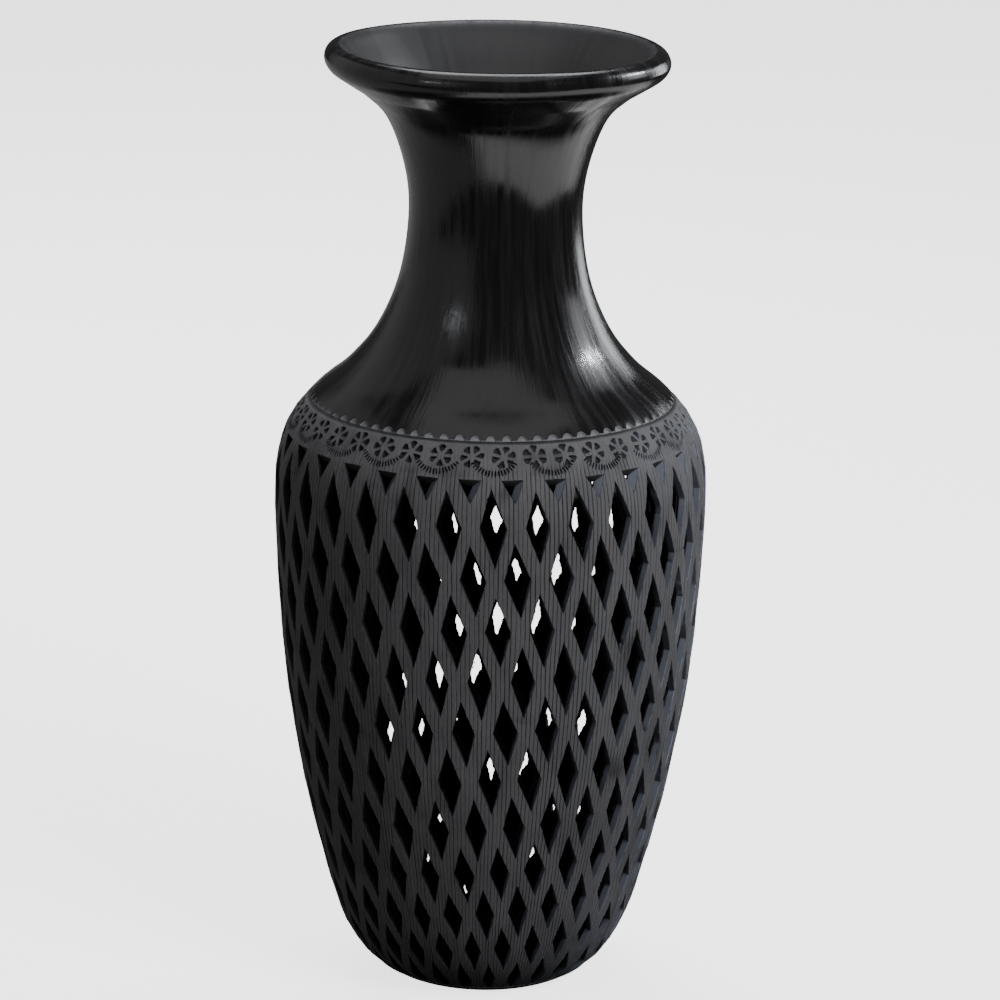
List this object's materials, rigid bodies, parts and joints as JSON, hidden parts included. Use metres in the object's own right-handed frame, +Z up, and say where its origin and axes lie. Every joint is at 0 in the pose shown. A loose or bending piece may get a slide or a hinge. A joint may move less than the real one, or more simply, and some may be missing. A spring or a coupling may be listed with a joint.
{
  "type": "openwork clay pot",
  "caption": "Tall black clay pot with a net of cut diamonds round the body, a stamped shoulder band, a burnished narrow neck and a rolled lip.",
  "frame": {"origin": "middle of the flat face the pot rests on", "axes": "+Z up along the pot's axis, -Y towards the front of the pot"},
  "size_m": [0.1714, 0.1714, 0.3784],
  "materials": {
    "matte_clay": "satin, combed",
    "burnished_clay": "burnished, glossy"
  },
  "bodies": {
    "root": {"base_disc": "matte_clay", "lower_pierced_wall": "matte_clay", "middle_pierced_wall": "matte_clay", "upper_pierced_wall": "matte_clay", "shoulder_band": "matte_clay", "burnished_neck": "burnished_clay", "lip_coil": "burnished_clay"}
  },
  "joints": []
}
